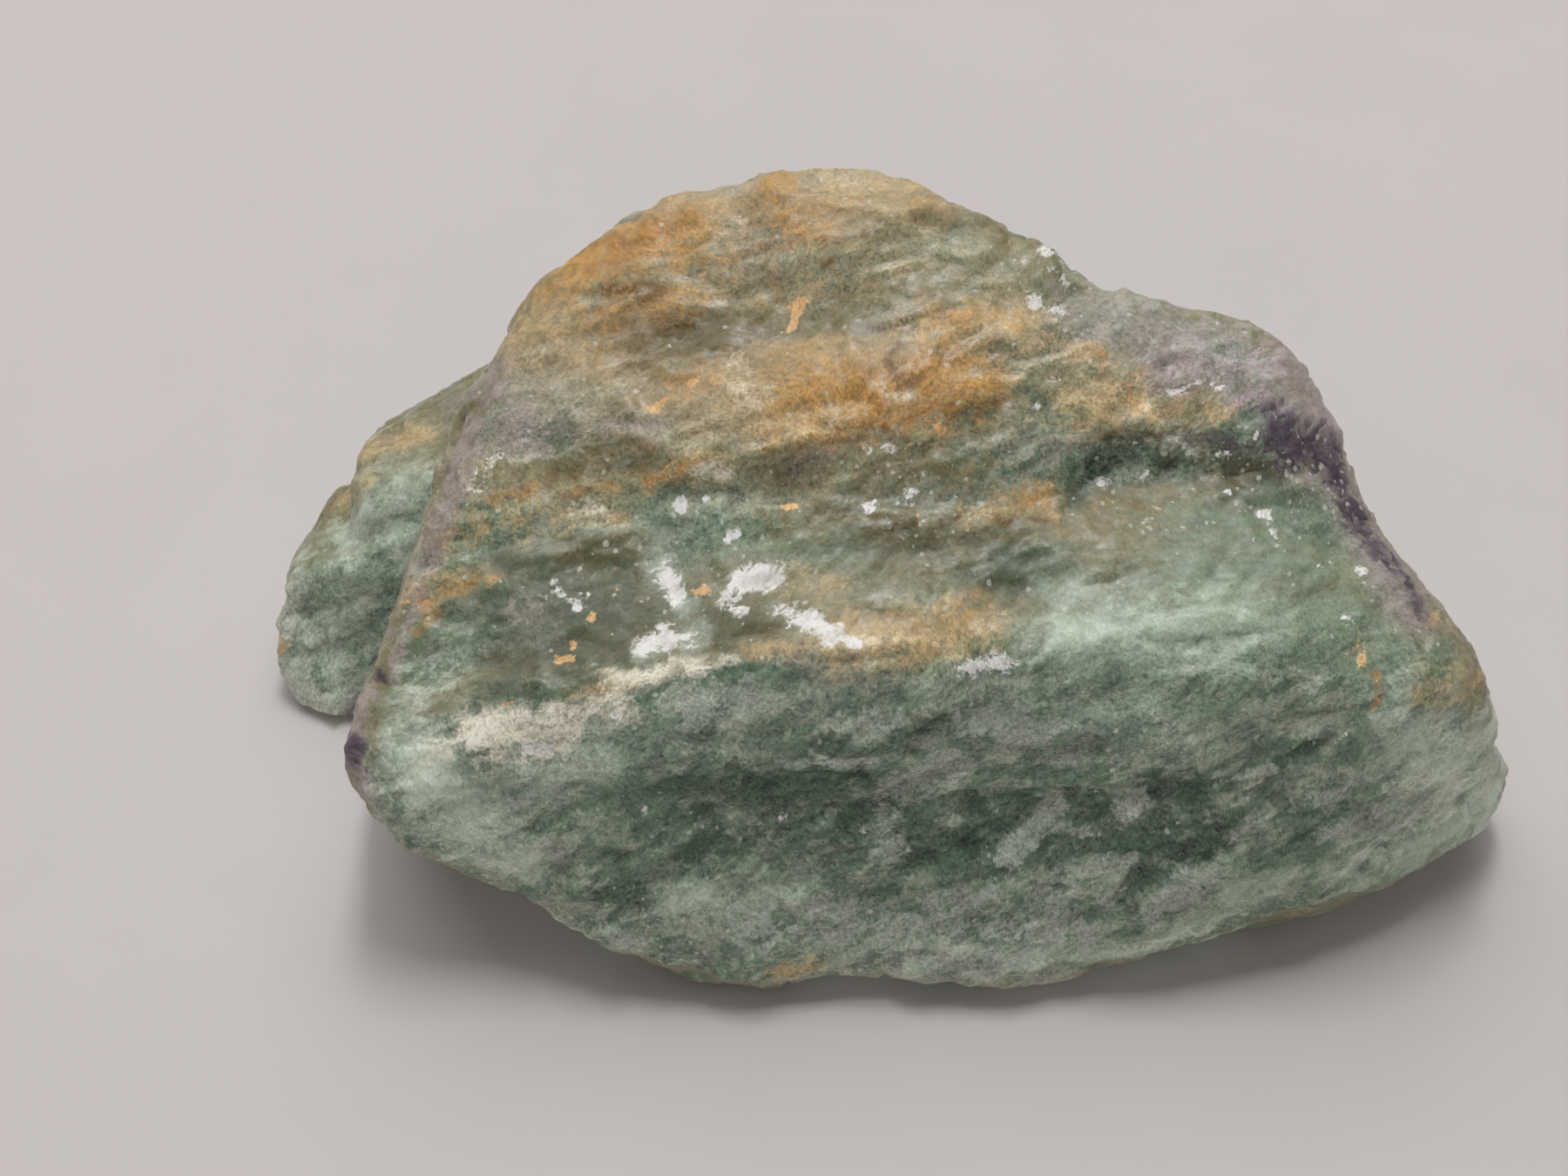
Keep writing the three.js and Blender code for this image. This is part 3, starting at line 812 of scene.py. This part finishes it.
def fine_mesh(node):
    """A closed mesh of even small quads in the shape of a CAD node."""
    mesh = node.data.copy()
    joined = bmesh.new()
    joined.from_mesh(mesh)
    bmesh.ops.remove_doubles(joined, verts=joined.verts, dist=0.01 * MM)
    joined.to_mesh(mesh)
    joined.free()
    helper = bpy.data.objects.new("helper", mesh)
    bpy.context.collection.objects.link(helper)
    remesh = helper.modifiers.new("even", "REMESH")
    remesh.mode = "VOXEL"
    remesh.voxel_size = CELL * MM
    remesh.adaptivity = 0
    shaped = helper.evaluated_get(bpy.context.evaluated_depsgraph_get())
    result = bpy.data.meshes.new_from_object(shaped)
    bpy.data.objects.remove(helper)
    return result


def nearest_on(points, start, end):
    """The nearest place to each point on a stroke, and how far along the stroke that is, from 0 to 1."""
    along = end - start
    share = np.clip((points - start) @ along / max(along @ along, 1e-9), 0, 1)
    return start + share[:, None] * along, share


def painted(surface, points, strokes):
    """How strongly each vertex is marked: in full on a stroke's line, half at its width, 0 at twice that."""
    total = np.zeros(len(points))
    for start_x, start_y, end_x, end_y, half, strength in strokes.values():
        start, _ = surface.under(start_x, start_y)
        end, _ = surface.under(end_x, end_y)
        nearest, _ = nearest_on(points, start, end)
        distance = np.linalg.norm(points - nearest, axis=1)
        total = np.maximum(total, strength * np.clip(1 - distance / (2 * half * PIXEL), 0, 1))
    return total


def step_height(surface, points, line, drop, fade):
    """The change of height that one step makes."""
    places = [surface.under(*pixel) for pixel in line]
    closest = np.full(len(points), 1e9)
    side = np.zeros(len(points))
    taper = np.zeros(len(points))
    runs = len(places) - 1
    for run in range(runs):
        (start, normal), (end, _) = places[run], places[run + 1]
        nearest, share = nearest_on(points, start, end)
        apart = points - nearest
        distance = np.linalg.norm(apart, axis=1)
        down = unit(np.cross(end - start, normal))
        closer = distance < closest
        closest = np.where(closer, distance, closest)
        side = np.where(closer, apart @ down, side)
        travelled = (run + share) / runs
        taper = np.where(closer, 4 * np.minimum(travelled, 1 - travelled), taper)
    beyond = np.sqrt(np.maximum(closest**2 - side**2, 0))
    below = eased(side, -0.25, 0.35) * np.exp(-np.maximum(side, 0) / fade)
    above = 0.3 * (1 - eased(side, -0.25, 0.35)) * np.exp(np.minimum(side, 0) / fade * 1.5)
    return drop * (above - below) * np.exp(-((beyond / fade) ** 2)) * np.clip(taper, 0.15, 1)


def shaping_height(surface, points):
    """The corners and notches of the outline, each a cone that fades round its place."""
    total = np.zeros(len(points))
    for pixel_x, pixel_y, rise, reach in SHAPING.values():
        place, _ = surface.under(pixel_x, pixel_y)
        total += rise * np.clip(1 - np.linalg.norm(points - place, axis=1) / reach, 0, 1)
    return total


def relief(grain, front, ridges, flakes):
    """How high the broken surface stands: plates above, long flakes in front, and rougher ridges."""
    height = sum(rise * plates(grain / size, salt) for size, rise, salt in PLATES)
    height = height * (1 - 0.4 * front) + 0.8 * front * flakes
    height += 0.03 * rough_noise(grain / [2.4, 1.2, 1.2], 61)
    return height + ridges * (0.6 * plates(grain / [3.4, 2.2, 2.2], 43, 0.06) - 0.05)


def stone():
    """The whole specimen, as one closed mesh with its marks kept as attributes."""
    surface = Surface(frame["nodes"]["fluorite"])
    points = surface.points
    grain = warped(points, 16, 2.2, 71) @ axes_along(GRAIN, STRATA).T
    slant = warped(points, 9, 1.2, 83) @ axes_along(SLANT, FRONT).T
    front = eased(surface.normals @ unit(FRONT), 0.55, 0.85)
    flakes = plates(slant / [8, 3.2, 3.2], 51) + 0.45 * plates(slant / [3.6, 1.5, 1.5], 57)
    ridges = surface.ridges()
    height = relief(grain, front, ridges, flakes) + shaping_height(surface, points)
    for drop, fade, line in STEPS.values():
        height += step_height(surface, points, line, drop, fade)
    height *= eased(points[:, 2], 0.1, 1.5)
    low, high = (np.array(corner) / MM for corner in cad_box)
    surface.write(np.clip(points + height[:, None] * surface.normals, low, high))
    mesh = surface.mesh
    mesh.name = "fluorite_stone"
    ragged = warped(warped(points, 3, 0.9, 91), 0.9, 0.35, 97)
    hidden = eased(-surface.normals @ unit(EYE - AIM), -0.25, 0.08)
    numbers = {name: painted(surface, ragged, strokes) for name, strokes in MARKS.items()}
    numbers.update(front=np.maximum(front, hidden), hidden=hidden, rim=ridges, flakes=flakes)
    for name, values in numbers.items():
        mesh.attributes.new(name, "FLOAT", "POINT").data.foreach_set("value", values)
    for name, vectors in (("grain", grain), ("slant", slant)):
        mesh.attributes.new(name, "FLOAT_VECTOR", "POINT").data.foreach_set("vector", vectors.ravel())
    for face in mesh.polygons:
        face.use_smooth = True
    return mesh


def colour(numbers):
    """A colour given as the photograph's 0 to 255 numbers, made linear."""
    shares = np.array(numbers) / 255
    linear = np.where(shares <= 0.04045, shares / 12.92, ((shares + 0.055) / 1.055) ** 2.4)
    return (*linear, 1)


class Sheet:
    """Short ways of adding nodes to a material."""

    def __init__(self, name):
        self.material = bpy.data.materials.new(name)
        self.material.use_nodes = True
        self.tree = self.material.node_tree
        self.tree.nodes.clear()

    def node(self, kind, settings=None, **inputs):
        """A node with its settings, and inputs that are either numbers or other nodes' outputs."""
        made = self.tree.nodes.new("ShaderNode" + kind)
        for key, value in (settings or {}).items():
            setattr(made, key, value)
        for key, value in inputs.items():
            self.put(made.inputs[key.replace("_", " ")], value)
        return made

    def put(self, socket, value):
        """Sets an input, or links it."""
        if isinstance(value, bpy.types.NodeSocket):
            self.tree.links.new(value, socket)
        else:
            socket.default_value = value

    def number(self, name):
        """A number kept on the mesh."""
        return self.node("Attribute", {"attribute_name": name}).outputs["Fac"]

    def vector(self, name, scale=(1, 1, 1)):
        """A vector kept on the mesh, scaled along each axis."""
        source = self.node("Attribute", {"attribute_name": name}).outputs["Vector"]
        return self.node("Mapping", Vector=source, Scale=scale).outputs["Vector"]

    def noise(self, vector, size, detail, roughness):
        """Noise from 0 to 1 with features of about a size."""
        made = self.node("TexNoise", Vector=vector, Scale=1 / size, Detail=detail, Roughness=roughness)
        return made.outputs["Fac"]

    def math(self, operation, first, second):
        """Arithmetic on two numbers."""
        made = self.node("Math", {"operation": operation})
        self.put(made.inputs[0], first)
        self.put(made.inputs[1], second)
        return made.outputs[0]

    def blend(self, *shares):
        """A weighted sum of numbers, given as number, weight, number, weight and so on."""
        total = 0.0
        for value, weight in zip(shares[::2], shares[1::2]):
            total = self.math("ADD", self.math("MULTIPLY", value, weight), total)
        return total

    def centred(self, *shares):
        """A weighted sum of numbers from 0 to 1, each taken from its middle, so that it is 0 on average."""
        total = -0.5 * sum(shares[1::2])
        for value, weight in zip(shares[::2], shares[1::2]):
            total = self.math("ADD", self.math("MULTIPLY", value, weight), total)
        return total

    def step(self, value, low, high, bottom=0.0, top=1.0):
        """A smooth rise from bottom to top as the value goes from low to high."""
        made = self.node("MapRange", {"interpolation_type": "SMOOTHSTEP"})
        if low > high:
            low, high, bottom, top = high, low, top, bottom
        for key, number in (("Value", value), ("From Min", low), ("From Max", high)):
            self.put(made.inputs[key], number)
        made.inputs["To Min"].default_value = bottom
        made.inputs["To Max"].default_value = top
        return made.outputs["Result"]

    def pushed(self, vector, size, reach):
        """A vector pushed about by noise, so that what is drawn on it has ragged edges."""
        push = self.node("TexNoise", Vector=vector, Scale=1 / size, Detail=1, Roughness=0.65)
        middle = self.node("VectorMath", {"operation": "SUBTRACT"})
        self.put(middle.inputs[0], push.outputs["Color"])
        middle.inputs[1].default_value = (0.5, 0.5, 0.5)
        scaled = self.node("VectorMath", {"operation": "MULTIPLY_ADD"})
        self.put(scaled.inputs[0], middle.outputs["Vector"])
        scaled.inputs[1].default_value = (reach, reach, reach)
        self.put(scaled.inputs[2], vector)
        return scaled.outputs["Vector"]

    def patches(self, vector, size, stretch=(1, 1, 1)):
        """Three numbers from 0 to 1 for each patch of about a size."""
        shaped = self.node("Mapping", Vector=vector, Scale=stretch).outputs["Vector"]
        cells = self.node("TexVoronoi", Vector=shaped, Scale=1 / size)
        parts = self.node("SeparateColor", Color=cells.outputs["Color"])
        return parts.outputs[0], parts.outputs[1], parts.outputs[2]

    def mix(self, factor, first, second):
        """The second colour over the first."""
        made = self.node("Mix", {"data_type": "RGBA"})
        for key, value in (("Factor_Float", factor), ("A_Color", first), ("B_Color", second)):
            self.put(next(item for item in made.inputs if item.identifier == key), value)
        return next(item for item in made.outputs if item.identifier == "Result_Color")


class Patterns:
    """The noises and patches that the material's layers share, in the stone's own grain."""

    def __init__(self, sheet):
        self.even = sheet.vector("grain")
        self.torn = sheet.pushed(self.even, 1.8, 1.3)
        self.slanted = sheet.pushed(sheet.vector("slant"), 1.4, 0.8)
        self.little = sheet.patches(self.torn, 0.8, (0.75, 1, 1))
        self.grit = sheet.patches(self.torn, 0.32)
        self.flake = sheet.patches(self.slanted, 2.4, (0.5, 1, 1))
        self.splinter = sheet.patches(self.slanted, 1.1, (0.4, 1, 1))
        drawn_out = sheet.vector("grain", (0.6, 1, 1))
        self.hue = sheet.noise(drawn_out, 2.6, 3, 0.62)
        self.mottle = sheet.noise(drawn_out, 1.3, 4, 0.68)
        self.blotch = sheet.noise(sheet.vector("slant", (0.6, 1, 1)), 2.2, 5, 0.68)
        self.fine = sheet.noise(self.even, 0.25, 2, 0.75)
        self.edge = sheet.centred(self.mottle, 0.65, self.fine, 0.06, self.little[1], 0.5, self.grit[1], 0.16)
        self.powder = sheet.centred(self.fine, 0.9, self.grit[2], 0.35)


def bare_colour(sheet, patterns):
    """The stone's own colour: khaki green above, grey and green at the front, and a painted glow of light at
    its sharp edges.
    """
    warmth = sheet.centred(patterns.hue, 1.6, patterns.little[2], 0.6, patterns.fine, 0.2)
    above = sheet.mix(sheet.step(warmth, -0.6, 0.6), colour(UPPER_COLD), colour(UPPER_WARM))
    broken = sheet.centred(patterns.flake[2], 0.16, patterns.splinter[2], 0.16, patterns.fine, 0.1)
    pale = sheet.math("ADD", patterns.blotch, broken)
    front = sheet.mix(sheet.step(pale, 0.4, 0.62), colour(FRONT_GREEN), colour(FRONT_GREY))
    base = sheet.mix(sheet.number("front"), above, front)
    rim = sheet.step(sheet.math("ADD", sheet.number("rim"), patterns.edge), 0.05, 0.9, 0, 0.55)
    return sheet.mix(rim, base, colour(EDGE_GLOW))


def banded_colour(sheet, patterns, base):
    """The bands that the stone grew in, on the sides that the photograph hides."""
    layers = sheet.noise(sheet.vector("grain", (0.05, 0.09, 1)), 5.5, 2, 0.55)
    height = sheet.blend(layers, 1.0, patterns.edge, 0.09)
    bands = base
    for shade, low, high in BANDS:
        bands = sheet.mix(sheet.step(height, low, high, 0, 0.75), bands, colour(shade))
    return sheet.mix(sheet.number("hidden"), base, bands)


def stains_and_painted_light(sheet, patterns, base):
    """The marks over it, kind by kind: stains and patches, with a few painted shadows, glints and glows among
    them, each with its edge broken up but nothing where it has no strength.
    """
    for name, (shade, low, high, torn, grainy, hiding) in PAINTS.items():
        strength = sheet.number(name)
        raggedness = sheet.blend(patterns.edge, torn, patterns.powder, grainy)
        shift = sheet.math("MULTIPLY", raggedness, sheet.step(strength, 0, 0.3))
        shown = sheet.step(sheet.math("ADD", strength, shift), low, high, 0, hiding)
        base = sheet.mix(shown, base, colour(shade))
    return base


def shaded_colour(sheet, patterns, base):
    """The mottling over all of it, from blotches and patches down to grains, calmer on the paler marks."""
    above = sheet.centred(
        patterns.hue, 0.1, patterns.mottle, 0.2, patterns.fine, 0.6,
        patterns.little[0], 0.2, patterns.grit[0], 0.26,
    )
    in_front = sheet.centred(
        patterns.blotch, 0.3, patterns.mottle, 0.3, patterns.fine, 1.5, patterns.flake[0], 0.16,
        patterns.splinter[0], 0.26, patterns.grit[0], 0.45, sheet.number("flakes"), 0.2,
    )
    change = sheet.math("ADD", sheet.math("SUBTRACT", in_front, above), 0.12)
    tone = sheet.math("ADD", above, sheet.math("MULTIPLY", change, sheet.number("front")))
    pale = sheet.math("MAXIMUM", sheet.number("mint"), sheet.number("milk"))
    calm = sheet.blend(sheet.step(pale, 0.1, 0.8, 1.0, 0.5), 1.0, sheet.number("deep"), 0.7)
    brightness = sheet.math("ADD", sheet.math("MULTIPLY", tone, calm), 1.0)
    scaled = sheet.node("VectorMath", {"operation": "SCALE"})
    sheet.put(scaled.inputs[0], base)
    sheet.put(scaled.inputs["Scale"], brightness)
    return scaled.outputs["Vector"]


def painted_glints(sheet, patterns, base):
    """Painted glints: bright specks, thick where the stone is frosted and few elsewhere."""
    cells = sheet.node("TexVoronoi", Vector=sheet.pushed(patterns.even, 0.3, 0.35), Scale=1 / 0.62)
    parts = sheet.node("SeparateColor", Color=cells.outputs["Color"]).outputs
    frost_glints = sheet.step(sheet.number("frost_glints"), 0.0, 0.9, 0, 0.5)
    kept = sheet.step(sheet.math("ADD", parts[0], frost_glints), 0.955, 0.965)
    size = sheet.step(parts[1], 0.0, 1.0, 0.14, 0.4)
    near = sheet.step(sheet.math("SUBTRACT", cells.outputs["Distance"], size), 0.04, -0.08, 0, 0.55)
    return sheet.mix(sheet.math("MULTIPLY", kept, near), base, colour(GLINT_SPECK))


def fluorite():
    """Milky green fluorite, banded and stained, with painted glints, shadow lines and edge glow."""
    sheet = Sheet("fluorite")
    patterns = Patterns(sheet)
    base = bare_colour(sheet, patterns)
    for layer in (banded_colour, stains_and_painted_light, shaded_colour, painted_glints):
        base = layer(sheet, patterns, base)
    shader = sheet.node(
        "BsdfPrincipled",
        {"subsurface_method": "RANDOM_WALK"},
        Base_Color=base,
        Roughness=sheet.step(patterns.mottle, 0.3, 0.7, 0.28, 0.56),
        IOR=FLUORITE_IOR,
        Subsurface_Weight=SCATTERED,
        Subsurface_Radius=SCATTER_SHARES,
        Subsurface_Scale=SCATTER_LENGTH * MM,
    )
    output = sheet.node("OutputMaterial")
    sheet.put(output.inputs["Surface"], shader.outputs["BSDF"])
    return sheet.material


def floor():
    """A plain pale tabletop."""
    half = 1.5
    corners = [(-half, -half, 0), (half, -half, 0), (half, half, 0), (-half, half, 0)]
    mesh = bpy.data.meshes.new("floor")
    mesh.from_pydata(corners, [], [(0, 1, 2, 3)])
    made = bpy.data.objects.new("floor", mesh)
    bpy.context.collection.objects.link(made)
    sheet = Sheet("tabletop")
    place = sheet.node("TexCoord").outputs["Object"]
    tone = sheet.noise(place, 0.02, 3, 0.55)
    shade = sheet.mix(tone, colour((214, 207, 205)), colour((220, 213, 211)))
    shader = sheet.node("BsdfPrincipled", Base_Color=shade, Roughness=0.7)
    output = sheet.node("OutputMaterial")
    sheet.put(output.inputs["Surface"], shader.outputs["BSDF"])
    mesh.materials.append(sheet.material)


def camera():
    """The photograph's camera."""
    data = bpy.data.cameras.new("camera")
    data.lens = LENS
    data.sensor_width = SENSOR
    data.clip_start = 0.01
    made = bpy.data.objects.new("camera", data)
    made.location = EYE * MM
    made.rotation_euler = (math.pi / 2 - SIGHT, 0, 0)
    bpy.context.collection.objects.link(made)
    bpy.context.scene.camera = made


def lamp(name, place, size, power):
    """A rectangle of soft light at a place, with its size across and along, in metres, aimed at the stone."""
    data = bpy.data.lights.new(name, "AREA")
    data.shape = "RECTANGLE"
    data.size, data.size_y = size
    data.energy = power
    made = bpy.data.objects.new(name, data)
    made.location = place
    made.rotation_euler = (-Vector(place)).to_track_quat("-Z", "Y").to_euler()
    bpy.context.collection.objects.link(made)


def lighting():
    """A ceiling lamp, wide light from above and behind, a little from the front, and an even fill."""
    lamp("ceiling", (0.01, 0.14, 0.75), (0.12, 0.30), 1.7)
    lamp("window", (-0.12, 0.42, 0.95), (1.2, 1.0), 5.6)
    lamp("wall", (0.0, -1.0, 0.35), (1.0, 0.4), 1.3)
    world = bpy.data.worlds.new("studio")
    world.use_nodes = True
    background = world.node_tree.nodes["Background"]
    background.inputs["Color"].default_value = (1.0, 0.98, 0.97, 1)
    background.inputs["Strength"].default_value = 0.16
    scene = bpy.context.scene
    scene.world = world
    scene.view_settings.view_transform = "Standard"


piece = bpy.data.objects.new("fluorite_stone", stone())
bpy.context.collection.objects.link(piece)
piece.data.materials.clear()
piece.data.materials.append(fluorite())
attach(piece, "root")
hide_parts("fluorite")

floor()
camera()
lighting()
